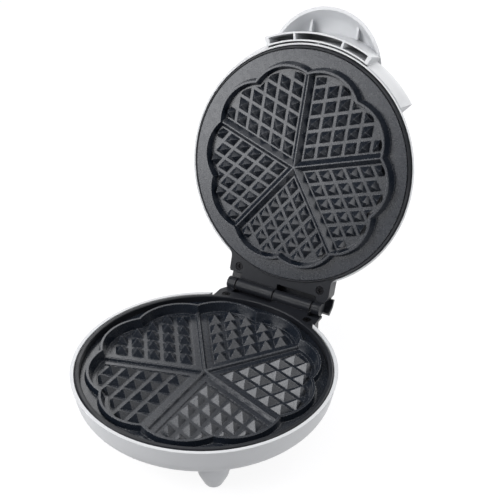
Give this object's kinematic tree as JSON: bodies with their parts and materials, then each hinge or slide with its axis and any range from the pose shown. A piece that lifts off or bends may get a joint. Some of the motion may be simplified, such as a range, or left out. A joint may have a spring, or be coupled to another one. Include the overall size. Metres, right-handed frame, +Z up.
{
  "type": "waffle maker",
  "caption": "Round waffle maker with heart-shaped cooking plates, moulded feet and a lid with a hooded handle that swings open on a rear hinge.",
  "frame": {"origin": "on the table, under the middle of the box round the open waffle maker", "axes": "+Z up, +Y from the front of the base towards the hinge, +X to the right seen from the front"},
  "size_m": [0.1972, 0.305, 0.2686],
  "materials": {
    "shell": "moulded light grey-white, satin gloss",
    "black_plastic": "fine satin grain",
    "nonstick": "cast, with a dark non-stick coating",
    "heater_tube": "drawn tube, heat-dulled",
    "sheet": "pressed sheet",
    "screw": "plated",
    "pin": "ground",
    "gland": "moulded",
    "terminal": "moulded",
    "fuse": "plain",
    "thermostat": "moulded",
    "red_lens": "clear moulded",
    "green_lens": "clear moulded"
  },
  "bodies": {
    "base": {"base_shell": "shell", "base_bezel": "black_plastic", "base_plate": "nonstick", "base_heater": "heater_tube", "base_reflector": "sheet", "base_plate_screws": "screw", "base_shell_screws": "screw", "base_hinge_cover": "black_plastic", "base_hinge_screws": "screw", "hinge_pin": "pin", "cord_gland": "gland", "terminal_block": "terminal", "thermal_fuse": "fuse"},
    "lid": {"lid_shell": "shell", "lid_bezel": "black_plastic", "lid_plate": "nonstick", "lid_heater": "heater_tube", "lid_reflector": "sheet", "lid_plate_screws": "screw", "lid_hinge_cover": "black_plastic", "lid_hinge_screws": "screw", "handle": "shell", "handle_screws": "screw", "thermostat": "thermostat", "power_lens": "red_lens", "ready_lens": "green_lens", "lamp_holder": "terminal"}
  },
  "joints": [
    {"name": "lid_hinge", "type": "hinge", "parent": "base", "child": "lid", "pos_m": [0, 0.05491, 0.0488], "axis": [1, 0, 0], "range_deg": [0, 106]}
  ]
}
